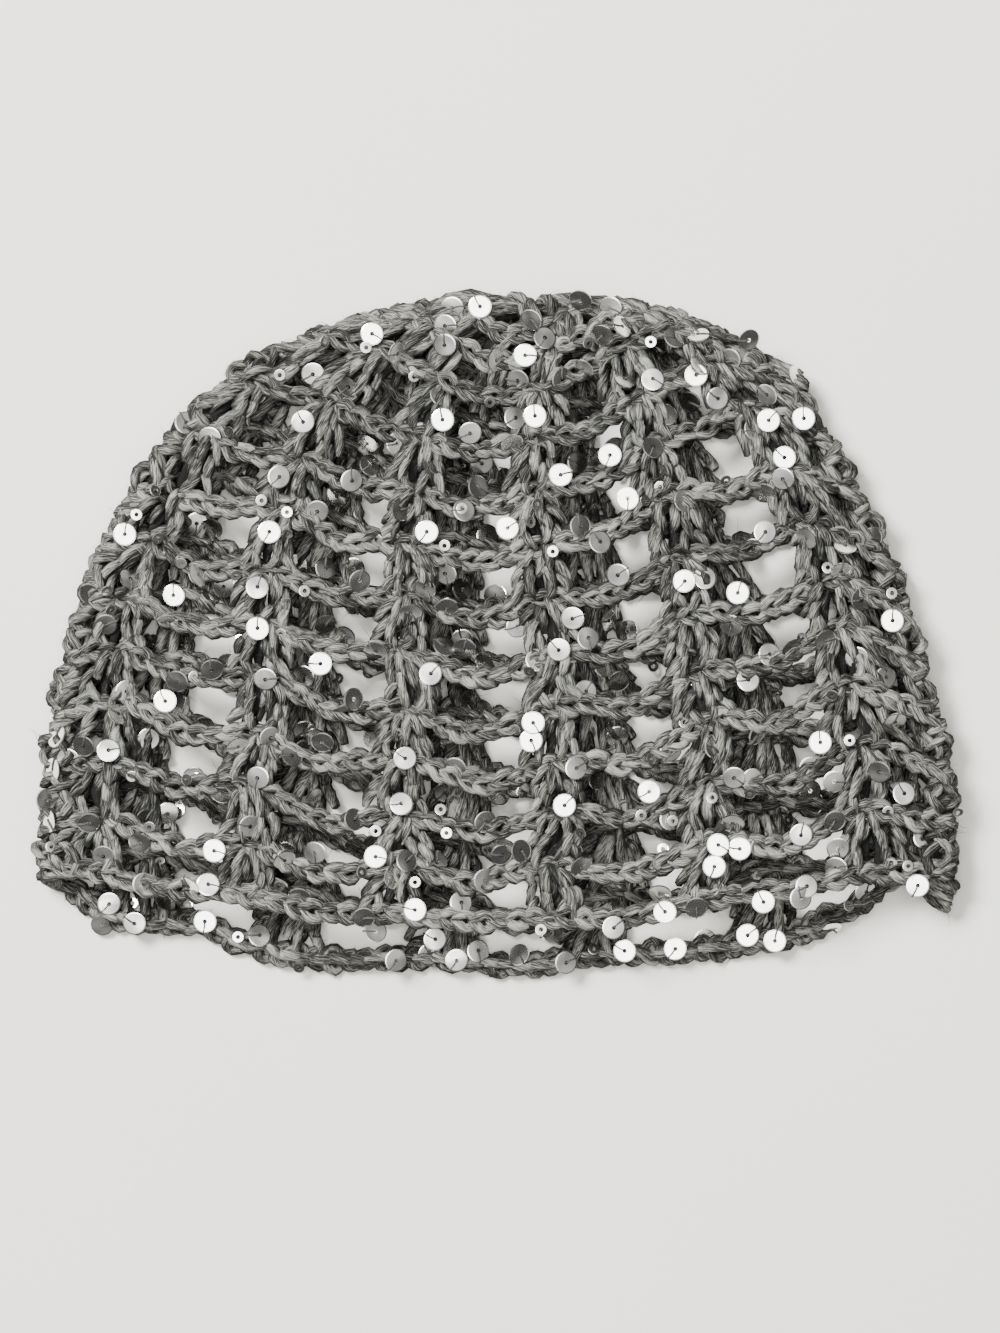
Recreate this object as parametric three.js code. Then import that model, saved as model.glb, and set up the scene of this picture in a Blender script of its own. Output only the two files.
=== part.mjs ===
// Crochet skull cap, laid flat: a dense crown, nine open rounds, a hem round, and the larger sequins.
// Millimetres, +Z up. The back face lies on Z = 0, the crown points to +Y, and the mouth is open to -Y.
import * as THREE from "three";

// The cap as it lies. Widths and lengths are taken on the middle of the fabric.
const HALF_WIDTH = 116; // centre line to the side fold, at the hem
const DOME_DROP = 141; // from the top fold down to where the sides run straight
const SHOULDER_POWER = 1.68; // how round the shoulders of the outline are
const FLANK_POWER = 3; // how soon the sides run straight
const CROWN_LEAN = 8; // the crown lies this far to the right of the hem's middle
const SHOULDER_LEAN = 1.6; // and the shoulders this far to the left
const TOP_Y = 84.5; // the top fold, above the middle of the whole cap
const FRONT_LENGTH = 158; // crown to hem down the middle of the front face
const BACK_LENGTH = 167; // the back face hangs out below the front one
const FOLD_LENGTH = 142.5; // top fold to hem at the side folds
const FRONT_HEM_POWER = 1.5; // how the front hem curves up to the folds
const BACK_HEM_POWERS = { left: 6, right: 2.5 }; // the back hem curves up later, and sooner on the right
// Where the back hem is pushed up: place and reach as shares of the half width, and rise in mm.
const BACK_HEM_WAVES = [
  { share: -0.68, reach: 0.14, rise: 8.5 },
  { share: 0.6, reach: 0.13, rise: -2.5 },
  { share: 0.84, reach: 0.1, rise: 1.5 },
];
const FOLD_RADIUS = 4.5; // of the fabric's middle where it turns over
const FACE_BULGE = 4.5; // the front face stands this much higher in the middle than beside the folds
const BULGE_REACH = 45; // distance from the fold to where the front face is at full height

// How far each face has slipped from an even net as it lies, by the share of the way from crown to hem:
// down and to the right, at the left, in the middle and at the right of the face.
const FRONT_SLIP = [
  { progress: 0, down: [0, 0, 0], right: [0, 0, 0] },
  { progress: 0.25, down: [2.5, 1, -4], right: [-1.5, -1, 0] },
  { progress: 0.5, down: [3, 1, -5], right: [0.5, 0, 1.5] },
  { progress: 0.75, down: [-1, 1, -7], right: [1.5, 1, 0.5] },
  { progress: 1, down: [-1, -1, -1], right: [1.5, -0.5, -0.5] },
];
const BACK_SLIP = [
  { progress: 0, down: [0, 0, 0], right: [0, 0, 0] },
  { progress: 0.25, down: [-5, -5, -5], right: [0, 0.5, -1] },
  { progress: 0.5, down: [-4.5, -1, -8.5], right: [-0.5, 0, -0.5] },
  { progress: 0.75, down: [-6.5, -3, -6], right: [1.5, 2.5, 3.5] },
  { progress: 1, down: [0.5, 0.5, -1.5], right: [3, 0.5, 1.5] },
];
const SLIP_SHARE = 0.65; // the left and right of a face, as a share of the half width

// The stitches.
const COLUMNS = 12; // fans in every round
const ROUNDS = 12; // from the crown's centre to the hem
const CROWN_ROUNDS = 2; // worked without gaps
const FIRST_COLUMN_INSET = 11.5; // from the left fold to the first fan of the front face
const THICKNESS = 4.8; // of the fabric
const CHAIN_HALF_WIDTH = 3;
const CHAIN_FACE = 1.5; // half the flat on a chain's face
const CHAIN_SAG = 4; // of a chain between two fans
const HEM_SAG = 1; // the hem's chain is taut
const FAN_FOOT = 2.4; // half a fan's width where it is worked into the round before
const FAN_FOOT_MOST = 0.5; // and at most this share of half its width at its own round
const FAN_FOOT_BEVEL = 1.2; // the slope of a fan's foot, down the fabric
const FAN_HEAD = 6.8; // half a fan's width at its own round
const FAN_HEAD_MOST = 0.36; // and at most this share of the way to the next fan
const ROUND_GAP = 0.6; // between a fan's foot and the round before
const CROWN_HOLE = 0.01; // share of a column's length that the ring in the crown's centre leaves open
const CROWN_RIB = 0.5; // the crown's posts stand this much above the dips between them
const FOLD_SPREAD = 0.25; // the rounds near the crown are wider apart at the folds
const BACK_SPREAD = 0.06; // and closer together down the middle of the back
const FOLD_FAN_STRETCH = 1.6; // a fan beside a fold reaches this much further towards it
const FOLD_FAN_MOST = 0.42; // and at most this share of the way to the next fan
const CROWN_EASE = 0.17; // share of the half width within which the crown's rounds stay round
const SHORT_CHAIN = 12; // rounds whose fans are closer than this have one section to a chain, the others two
const SECTION_SPACING = 1.8; // least distance from a section at a fold to the next one of its round
const CROWN_SECTION_SPACING = 0.04; // the same on the crown, in columns

// The sequins.
const SEQUIN_RADIUS = 3;
const SEQUIN_THICKNESS = 0.25;
const SEQUIN_HOLE = 0.55;
const SEQUIN_SIDES = 12;
const SEQUIN_HOLE_SIDES = 4;
const SEQUIN_CLEARANCE = 0.35; // under its lowest edge
const SEQUIN_TILT = THREE.MathUtils.degToRad(5);
const SEQUIN_TURN = 2.4; // radians from one sequin's lean to the next one's, so that none line up

// Where the larger sequins lie: the round, how far along it in columns from the first fan,
// and how far below it in mm.
const SEQUIN_CHART = [
  { round: 1, along: [2.78], below: [4.4] },
  { round: 2, along: [0.39], below: [-1.9] },
  { round: 3, along: [2.07, 2.96, 4.22, 4.73], below: [-3, -6, -1.2, 0.5] },
  { round: 4, along: [3.18, 3.62], below: [-2.8, 0.3] },
  { round: 5, along: [2.11, 3.75, 5.17], below: [-2.5, -0.5, -4.5] },
  { round: 6, along: [-0.22, 0.89], below: [0.8, -6.4] },
  { round: 7, along: [0.29, 0.97, 1.44, 4.06, 4.42], below: [-0.2, 2.3, 6.2, -5.6, 1] },
  { round: 8, along: [0.4, 2.9], below: [6.2, 3] },
  { round: 10, along: [3.09, 3.64, 4.88], below: [-2.5, 0.8, -5] },
  { round: 11, along: [0.8, 1.85, 4.05, 4.21], below: [2.5, -1.8, 3.2, 1.5] },
  { round: 12, along: [2.1, 3.72, 4.36, 5.35], below: [-2.9, -0.4, 0.8, 1.5] },
];

const yarn = new THREE.MeshStandardMaterial({ color: 0x6f706d, roughness: 0.95, metalness: 0 });
const silver = new THREE.MeshStandardMaterial({ color: 0xd9d9d4, roughness: 0.2, metalness: 1 });

const HALF_THICKNESS = THICKNESS / 2;
const QUARTER_FOLD = (FOLD_RADIUS * Math.PI) / 2;
const FACE_RUN = 2 * (HALF_WIDTH - FOLD_RADIUS + QUARTER_FOLD); // one face, from fold line to fold line
const COLUMN_PITCH = (2 * FACE_RUN) / COLUMNS;
const FIRST_COLUMN_RUN = FIRST_COLUMN_INSET - FOLD_RADIUS + QUARTER_FOLD;
const FRONT = 1;
const BACK = -1;

// The flat outline of the cap.

function lengthOf(share, layer) {
  const side = Math.abs(share);
  if (layer === FRONT) return FRONT_LENGTH - (FRONT_LENGTH - FOLD_LENGTH) * side ** FRONT_HEM_POWER;
  const power = share < 0 ? BACK_HEM_POWERS.left : BACK_HEM_POWERS.right;
  const waves = BACK_HEM_WAVES.map((w) => w.rise * Math.exp(-(((share - w.share) / w.reach) ** 2)));
  const risen = waves.reduce((sum, rise) => sum + rise, (BACK_LENGTH - FOLD_LENGTH) * side ** power);
  return BACK_LENGTH - risen;
}

function riseAt(drop) {
  return Math.max(0, 1 - drop / DOME_DROP);
}

function halfWidthAt(drop) {
  return HALF_WIDTH * (1 - riseAt(drop) ** SHOULDER_POWER) ** (1 / FLANK_POWER);
}

function centreAt(drop) {
  const rise = riseAt(drop);
  return CROWN_LEAN * rise ** 6 - SHOULDER_LEAN * Math.sin(Math.PI * rise ** 2);
}

// A point's distance inside the outline, and the direction out of it.
function insetAt(x, drop) {
  const side = (x - centreAt(drop)) / HALF_WIDTH;
  const rise = riseAt(drop);
  const inside = 1 - Math.abs(side) ** FLANK_POWER - rise ** SHOULDER_POWER;
  const outX = (Math.sign(side) * FLANK_POWER * Math.abs(side) ** (FLANK_POWER - 1)) / HALF_WIDTH;
  const outY = (SHOULDER_POWER * rise ** (SHOULDER_POWER - 1)) / DOME_DROP;
  const steepness = Math.max(Math.hypot(outX, outY), 1e-4);
  return {
    inset: Math.max(0, inside / steepness),
    out: new THREE.Vector3(outX / steepness, outY / steepness, 0),
  };
}

// The columns of fans run down the faces at a fixed share of the half width.

const columnCurves = new Map();

function columnCurve(share, layer) {
  const key = share.toFixed(6) + layer;
  if (!columnCurves.has(key)) {
    const steps = 400;
    const curve = [];
    const eased = Math.hypot(share, CROWN_EASE);
    let run = 0;
    let widthBefore = 0;
    let dropBefore = 0;
    for (let i = 0; i <= steps; i++) {
      const drop = lengthOf(share, layer) * (i / steps) ** 2;
      const width = eased * halfWidthAt(drop);
      run += Math.hypot(width - widthBefore, drop - dropBefore);
      curve.push({ x: centreAt(drop) + share * halfWidthAt(drop), drop, run });
      widthBefore = width;
      dropBefore = drop;
    }
    columnCurves.set(key, curve);
  }
  return columnCurves.get(key);
}

// The slip at a place: from row to row of its table down the face, blended across it, and none at the folds.
function slipAt(share, layer, progress, way) {
  const table = layer === FRONT ? FRONT_SLIP : BACK_SLIP;
  const next = Math.max(1, table.findIndex((row) => row.progress >= Math.min(progress, 1)));
  const [above, below] = [table[next - 1], table[next]];
  const t = THREE.MathUtils.inverseLerp(above.progress, below.progress, Math.min(progress, 1));
  const [left, middle, right] = above[way].map((slip, i) => THREE.MathUtils.lerp(slip, below[way][i], t));
  const side = THREE.MathUtils.clamp(share / SLIP_SHARE, -1.3, 1.3);
  const blend = (left * side * (side - 1)) / 2 + middle * (1 - side * side) + (right * side * (side + 1)) / 2;
  return blend * (1 - share ** 8);
}

function pointOnColumn(share, layer, progress) {
  const curve = columnCurve(share, layer);
  const total = curve[curve.length - 1].run;
  const down = slipAt(share, layer, progress, "down");
  const right = slipAt(share, layer, progress, "right");
  const spread = 1 - FOLD_SPREAD * share * share + (layer === BACK ? BACK_SPREAD * (1 - share * share) : 0);
  const run = Math.min(Math.max(total * progress ** spread + down, 0), total * 1.1);
  let next = curve.findIndex((p) => p.run > run);
  if (next < 0) next = curve.length - 1;
  const a = curve[next - 1];
  const b = curve[next];
  const t = (run - a.run) / (b.run - a.run);
  return { x: THREE.MathUtils.lerp(a.x, b.x, t) + right, drop: THREE.MathUtils.lerp(a.drop, b.drop, t) };
}

// A place along a round, counted in columns from the first fan of the front face and on round the folds.
function placeOnRound(along) {
  const run = THREE.MathUtils.euclideanModulo(FIRST_COLUMN_RUN + along * COLUMN_PITCH, 2 * FACE_RUN);
  const layer = run < FACE_RUN ? FRONT : BACK;
  const onFace = layer === FRONT ? run : run - FACE_RUN;
  const fromFold = Math.min(onFace, FACE_RUN - onFace);
  const inset =
    fromFold < QUARTER_FOLD
      ? FOLD_RADIUS * (1 - Math.cos(fromFold / FOLD_RADIUS))
      : FOLD_RADIUS + fromFold - QUARTER_FOLD;
  const side = onFace < FACE_RUN / 2 ? -layer : layer;
  return { share: side * (1 - inset / HALF_WIDTH), layer };
}

// The fabric's middle and its outward normal, at a place along a round and a share of the way to the hem.
function sheetAt(along, progress) {
  const { share, layer } = placeOnRound(along);
  const { x, drop } = pointOnColumn(share, layer, progress);
  const { inset, out } = insetAt(x, drop);
  const roll = inset < FOLD_RADIUS ? Math.acos(1 - inset / FOLD_RADIUS) : Math.PI / 2;
  const t = Math.min(inset / BULGE_REACH, 1);
  const bulge = layer === FRONT ? FACE_BULGE * t * t * (3 - 2 * t) : 0;
  const slope = layer === FRONT ? (FACE_BULGE * 6 * t * (1 - t)) / BULGE_REACH : 0;
  const z = HALF_THICKNESS + FOLD_RADIUS + layer * FOLD_RADIUS * Math.sin(roll) + bulge;
  const normal = out.clone().multiplyScalar(Math.cos(roll) + slope * Math.sin(roll));
  normal.z = layer * Math.sin(roll);
  return { point: new THREE.Vector3(x, TOP_Y - drop, z), normal: normal.normalize() };
}

// The same, with the direction that runs down the fabric towards the hem.
function fabricAt(along, progress) {
  const step = 0.004;
  const here = sheetAt(along, progress);
  const above = sheetAt(along, Math.max(progress - step, 0)).point;
  const below = sheetAt(along, progress + step).point;
  const down = below.sub(above);
  down.addScaledVector(here.normal, -down.dot(here.normal)).normalize();
  return { ...here, down };
}

// A point beside the middle of the fabric, and never under the surface that the cap lies on.
function offset(place, down, out) {
  const point = place.point.clone().addScaledVector(place.down, down).addScaledVector(place.normal, out);
  point.z = Math.max(point.z, 0);
  return point;
}

// A closed solid from sections that all have the same number of corners and go once round the cap.
function loopOfSections(sections) {
  const corners = sections[0].length;
  const positions = sections.flatMap((section) => section.flatMap((p) => p.toArray()));
  const index = [];
  sections.forEach((_, i) => {
    const here = i * corners;
    const next = ((i + 1) % sections.length) * corners;
    for (let a = 0; a < corners; a++) {
      const b = (a + 1) % corners;
      index.push(here + a, next + a, next + b, here + a, next + b, here + b);
    }
  });
  const geometry = new THREE.BufferGeometry();
  geometry.setAttribute("position", new THREE.Float32BufferAttribute(positions, 3));
  geometry.setIndex(index);
  geometry.computeVertexNormals();
  return geometry;
}

// Places along a round where the fabric turns over, close enough together to be round.
function foldPlaces() {
  const turn = [-1, -0.5, 0, 0.5, 1].map((t) => t * QUARTER_FOLD);
  return [FACE_RUN, 2 * FACE_RUN].flatMap((fold) =>
    turn.map((t) => (fold + t - FIRST_COLUMN_RUN) / COLUMN_PITCH),
  );
}

// The length in mm of one column's stretch of a round, on the front face.
function pitchOfRound(round) {
  const progress = round / ROUNDS;
  return sheetAt(2.4, progress).point.distanceTo(sheetAt(2.6, progress).point) / 0.2;
}

// How far a fan reaches along its round, ahead or behind: further where a fold is beside it.
function headBeside(column, way, head) {
  const onFace = THREE.MathUtils.euclideanModulo(column, COLUMNS / 2);
  const beside = way > 0 ? onFace === COLUMNS / 2 - 1 : onFace === 0;
  return beside ? Math.min(head * FOLD_FAN_STRETCH, FOLD_FAN_MOST) : head;
}

// One open round: a chain that sags between its fans, and the fans that hang it from the round before.
function openRound(round) {
  const progress = round / ROUNDS;
  const pitch = pitchOfRound(round);
  const head = Math.min(FAN_HEAD, pitch * FAN_HEAD_MOST) / pitch;
  const foot = Math.min(FAN_FOOT / pitch, head * FAN_FOOT_MOST);
  const chainSteps = pitch > SHORT_CHAIN ? 2 : 1;
  const places = [];
  for (let column = 0; column < COLUMNS; column++) {
    const from = column + headBeside(column, 1, head);
    const to = column + 1 - headBeside(column + 1, -1, head);
    places.push(column - foot, column + foot, from);
    for (let i = 1; i <= chainSteps; i++) {
      places.push(THREE.MathUtils.lerp(from, to, i / (chainSteps + 1)));
    }
    places.push(to);
  }
  const spacing = SECTION_SPACING / pitch;
  const folds = foldPlaces().filter((f) => places.every((p) => Math.abs(p - f) > spacing));
  const ordered = [...places, ...folds].sort((a, b) => a - b);
  const sag = (round === ROUNDS ? HEM_SAG : CHAIN_SAG) * Math.min(1, pitch / COLUMN_PITCH);
  return loopOfSections(
    ordered.map((along) => {
      const fromFan = Math.abs(along - Math.round(along));
      const hang = Math.sin(Math.PI * fromFan) ** 2 * (sag / FRONT_LENGTH);
      const place = fabricAt(along, progress + hang);
      const inFan = fromFan <= foot + 1e-6;
      const before = (round - 1) / ROUNDS + (CHAIN_HALF_WIDTH + ROUND_GAP) / FRONT_LENGTH;
      const top = inFan ? fabricAt(along, before) : place;
      const [tip, shoulder] = inFan ? [0, FAN_FOOT_BEVEL] : [-CHAIN_HALF_WIDTH, -CHAIN_FACE];
      return [
        offset(place, CHAIN_HALF_WIDTH, 0),
        offset(place, CHAIN_FACE, HALF_THICKNESS),
        offset(top, shoulder, HALF_THICKNESS),
        offset(top, tip, 0),
        offset(top, shoulder, -HALF_THICKNESS),
        offset(place, CHAIN_FACE, -HALF_THICKNESS),
      ];
    }),
  );
}

// The crown: a closed fabric with its posts as low ribs, and the small ring in its centre.
function crown() {
  const rim = CROWN_ROUNDS / ROUNDS + CHAIN_HALF_WIDTH / FRONT_LENGTH;
  const steps = [CROWN_HOLE, 0.25 * rim, 0.5 * rim, 0.75 * rim, rim];
  const places = Array.from({ length: 2 * COLUMNS }, (_, i) => i / 2);
  const spacing = CROWN_SECTION_SPACING;
  const folds = foldPlaces().filter((f) => places.every((p) => Math.abs(p - f) > spacing));
  const ordered = [...places, ...folds].sort((a, b) => a - b);
  return loopOfSections(
    ordered.map((along) => {
      const onPost = Math.cos(2 * Math.PI * along) / 2;
      const column = steps.map((progress) => fabricAt(along, progress));
      const outer = column.map((p) => offset(p, 0, HALF_THICKNESS + CROWN_RIB * Math.min(0, onPost)));
      const inner = column.map((p) => offset(p, 0, -HALF_THICKNESS));
      return [...outer.reverse(), ...inner];
    }),
  );
}

// A sequin: a thin disc with a hole in its middle, lying flat on Z = 0 round its own centre.
function sequinDisc() {
  const disc = new THREE.Shape();
  for (let i = 0; i < SEQUIN_SIDES; i++) {
    const turn = (2 * Math.PI * i) / SEQUIN_SIDES;
    const [x, y] = [SEQUIN_RADIUS * Math.cos(turn), SEQUIN_RADIUS * Math.sin(turn)];
    if (i === 0) disc.moveTo(x, y);
    else disc.lineTo(x, y);
  }
  disc.closePath();
  const hole = new THREE.Path();
  for (let i = 0; i < SEQUIN_HOLE_SIDES; i++) {
    const turn = (-2 * Math.PI * i) / SEQUIN_HOLE_SIDES;
    const [x, y] = [SEQUIN_HOLE * Math.cos(turn), SEQUIN_HOLE * Math.sin(turn)];
    if (i === 0) hole.moveTo(x, y);
    else hole.lineTo(x, y);
  }
  hole.closePath();
  disc.holes.push(hole);
  return new THREE.ExtrudeGeometry(disc, { depth: SEQUIN_THICKNESS, bevelEnabled: false });
}

// The sequins lie on the front face, each turned and tilted its own way.
function sequins() {
  const disc = sequinDisc();
  const up = new THREE.Vector3(0, 0, 1);
  return SEQUIN_CHART.flatMap(({ round, along, below }) =>
    along.map((columns, i) => {
      const place = fabricAt(columns, round / ROUNDS + below[i] / FRONT_LENGTH);
      const turn = SEQUIN_TURN * (round * 5 + i);
      const lean = new THREE.Vector3(Math.cos(turn), Math.sin(turn), 0);
      const height = HALF_THICKNESS + SEQUIN_CLEARANCE + SEQUIN_RADIUS * Math.sin(SEQUIN_TILT);
      const mesh = new THREE.Mesh(disc, silver);
      mesh.quaternion.setFromUnitVectors(up, place.normal);
      mesh.quaternion.premultiply(new THREE.Quaternion().setFromAxisAngle(lean, SEQUIN_TILT));
      mesh.position.copy(offset(place, 0, height));
      return mesh;
    }),
  );
}

const two = (n) => String(n).padStart(2, "0");

const cap = new THREE.Group();
const crownMesh = new THREE.Mesh(crown(), yarn);
crownMesh.name = "crown";
cap.add(crownMesh);
for (let round = CROWN_ROUNDS + 1; round <= ROUNDS; round++) {
  const mesh = new THREE.Mesh(openRound(round), yarn);
  mesh.name = round === ROUNDS ? "hem_round" : "mesh_round_" + two(round);
  cap.add(mesh);
}
sequins().forEach((mesh, i) => {
  mesh.name = "sequin_" + two(i + 1);
  cap.add(mesh);
});

export default cap;
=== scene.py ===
"""A crochet skull cap of grey heather yarn with silver sequins, lying flat on a pale floor."""

import bpy
import numpy as np
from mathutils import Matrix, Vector
from mathutils.bvhtree import BVHTree


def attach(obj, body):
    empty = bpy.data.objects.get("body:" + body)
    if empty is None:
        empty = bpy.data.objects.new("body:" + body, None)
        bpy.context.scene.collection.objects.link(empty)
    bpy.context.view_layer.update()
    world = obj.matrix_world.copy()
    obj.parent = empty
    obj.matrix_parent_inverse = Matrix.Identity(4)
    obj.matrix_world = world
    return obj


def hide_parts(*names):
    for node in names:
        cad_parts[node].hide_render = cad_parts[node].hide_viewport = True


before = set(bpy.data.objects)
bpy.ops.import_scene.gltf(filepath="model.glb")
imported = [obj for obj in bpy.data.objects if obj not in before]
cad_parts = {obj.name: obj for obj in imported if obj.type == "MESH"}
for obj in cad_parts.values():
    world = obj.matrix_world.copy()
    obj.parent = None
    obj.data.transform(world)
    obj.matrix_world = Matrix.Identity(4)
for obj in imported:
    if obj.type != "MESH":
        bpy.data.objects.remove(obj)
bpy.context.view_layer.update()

MM = 0.001  # every size below is in millimetres until a mesh is made

# The cap as it lies, as in the solids. Widths and lengths are taken on the middle of the fabric.
HALF_WIDTH = 116.0
DOME_DROP = 141.0  # from the top of the crown down to the full width
SHOULDER_POWER = 1.68  # how round the outline is towards the top
FLANK_POWER = 3.0  # how steep it is towards the sides
CROWN_LEAN = 8.0  # how far the top leans to the right
SHOULDER_LEAN = 1.6  # how far the shoulders lean to the left
TOP_Y = 84.5  # the top of the crown
FRONT_LENGTH = 158.0  # from the crown to the hem down the middle of the front
BACK_LENGTH = 167.0  # and of the back
FOLD_LENGTH = 142.5  # and at the folds
FRONT_HEM_POWER = 1.5  # how late the hems rise towards the folds
BACK_HEM_POWER_LEFT = 6.0  # the back hem later, and sooner on the right
BACK_HEM_POWER_RIGHT = 2.5
BACK_HEM_WAVES = (
    # share of the half width, reach, rise
    (-0.68, 0.14, 8.5),
    (0.6, 0.13, -2.5),
    (0.84, 0.10, 1.5),
)
FOLD_RADIUS = 4.5  # of the fabric's middle where it turns over
FACE_BULGE = 4.5  # how much higher the front face lies in its middle
BULGE_REACH = 45.0  # from the edge to that height
THICKNESS = 4.8  # of the fabric
COLUMNS = 12  # fans round the cap
ROUNDS = 12
CROWN_ROUNDS = 2  # worked so close that they are one fabric
FIRST_COLUMN_INSET = 11.5  # from the left edge to the first fan
FOLD_SPREAD = 0.25  # the rounds near the crown are wider apart at the folds
BACK_SPREAD = 0.06  # and closer together down the middle of the back
FOLD_FAN_STRETCH = 1.6  # how much wider a fan is on its side towards a fold
CROWN_EASE = 0.17  # share of the half width within which the crown's rounds stay round
CHAIN_SAG = 4.0  # of a chain between two fans
HEM_SAG = 1.0  # the hem's chain is taut
SAG_GROWTH = 1.6  # how fast the sag grows on the way down from the crown
CHAIN_DIP = 1.1  # how far a chain dips behind a fan
HEM_DIP = 0.3
DIP_REACH = 4.6  # from the middle of the fan

# The unevenness of handwork: waves round the cap and down it, and how far they shift a stitch.
WANDER_WAVES = (
    # waves round the cap, half waves down it
    (1, 2.3),
    (2, 4.1),
    (3, 6.7),
    (5, 9.2),
    (7, 13.1),
)
DRIFT_ALONG = 0.035  # in columns
DRIFT_DOWN = 0.0055  # as a share of the way down

QUARTER_FOLD = FOLD_RADIUS * np.pi / 2
FACE_RUN = 2 * (HALF_WIDTH - FOLD_RADIUS + QUARTER_FOLD)
COLUMN_PITCH = 2 * FACE_RUN / COLUMNS
FIRST_COLUMN_RUN = FIRST_COLUMN_INSET - FOLD_RADIUS + QUARTER_FOLD
FRONT = 1
BACK = -1

# How far each face has slipped from an even net as it lies, by the share of the way from crown to hem:
# down, then to the right, each at the left, in the middle and at the right of the face. The values were
# fitted to where the floor shows through in the photo.
SLIP_PROGRESS = (0, 0.25, 0.5, 0.75, 1)
SLIPS = {
    FRONT: (
        ((0, 0, 0), (2.5, 1, -4), (3, 1, -5), (-1, 1, -7), (-1, -1, -1)),
        ((0, 0, 0), (-1.5, -1, 0), (0.5, 0, 1.5), (1.5, 1, 0.5), (1.5, -0.5, -0.5)),
    ),
    BACK: (
        ((0, 0, 0), (-5, -5, -5), (-4.5, -1, -8.5), (-6.5, -3, -6), (0.5, 0.5, -1.5)),
        ((0, 0, 0), (0, 0.5, -1), (-0.5, 0, -0.5), (1.5, 2.5, 3.5), (3, 0.5, 1.5)),
    ),
}
SLIP_SHARE = 0.65  # the left and right of a face, as a share of the half width

# The yarn and its stitches.
YARN_RADIUS = 1.35
STRAND_SIDES = 8
STRAND_RELIEF = 0.22  # depth of the grooves between the yarn's plies, as a share of its radius
STRAND_ROUGHNESS = 0.06  # unevenness of the surface, as a share of it too
YARN_TWIST = 2 * np.pi / 26  # turn in each mm
PAINTED_HOLLOW_SHADE = 3.5  # painted shade: how much darker the strands' colour is made in the fabric's hollows
PAINTED_FLANK_SHADE = 1.8  # and painted shade on their flanks, where they touch
FLOOR_CLEARANCE = 0.05
CHAIN_STITCH = 4.3  # length of one stitch of a chain
CHAIN_SPREAD = 1.65  # half its width
CHAIN_DEPTH = 1.6  # how far its strand rises and sinks
CHAIN_SAMPLES = 120  # places worked out along the chain between two fans
CHAIN_SIZES = (0.8, 1.25)  # least and most size of a stitch
CHAIN_SLIP = 0.06  # how far a stitch lies off its place along the chain, in stitches
CHAIN_VEER = 0.35  # and across it, in mm
KNOT_VEER = 0.22  # and how far each turn of its strand does
BACK_LOOSENESS = 1.25  # how much wider the stitches of the back lie, which the front holds down
BACK_PLUMPNESS = 1.12  # and how much thicker
ROW_HEIGHT = FRONT_LENGTH / ROUNDS
FAN_REACH = 6.5  # from the middle of a fan to its outermost leaf
FAN_ROOM = 0.48  # the same as a share of the room for a fan, where that is less
FAN_SIZES = (0.88, 1.12)  # least and most size of a fan
FAN_LEAN = 0.10  # how far its leaves' feet lie to one side
LEAF_SIZES = (0.86, 1.14)
LEAF_LIFTS = (0.6, 1.3)  # least and most share of its lift that a leaf has
LEAST_ROUND = 0.35  # nearer than this to the crown's centre, the leaves crowd together
LEAF_UNEVENNESS = {
    # across and down as in the table of leaves, outward and bend in mm
    "top across": 0.07,
    "foot across": 0.12,
    "top down": 0.035,
    "foot down": 0.05,
    "top out": 0.2,
    "foot out": 0.3,
    "bend": 0.4,
}

# The discs.
DISC_RADIUS = 2.94
RING_RADIUS = 1.5
DISC_THICKNESS = 0.22
DISC_BOW = 0.014  # how much a disc bends down along one line, in mm for each square mm
RIM_START = 0.9  # share of the radius where the rim starts to fall off
RIM_FALL = 0.018  # and how far it falls

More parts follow.
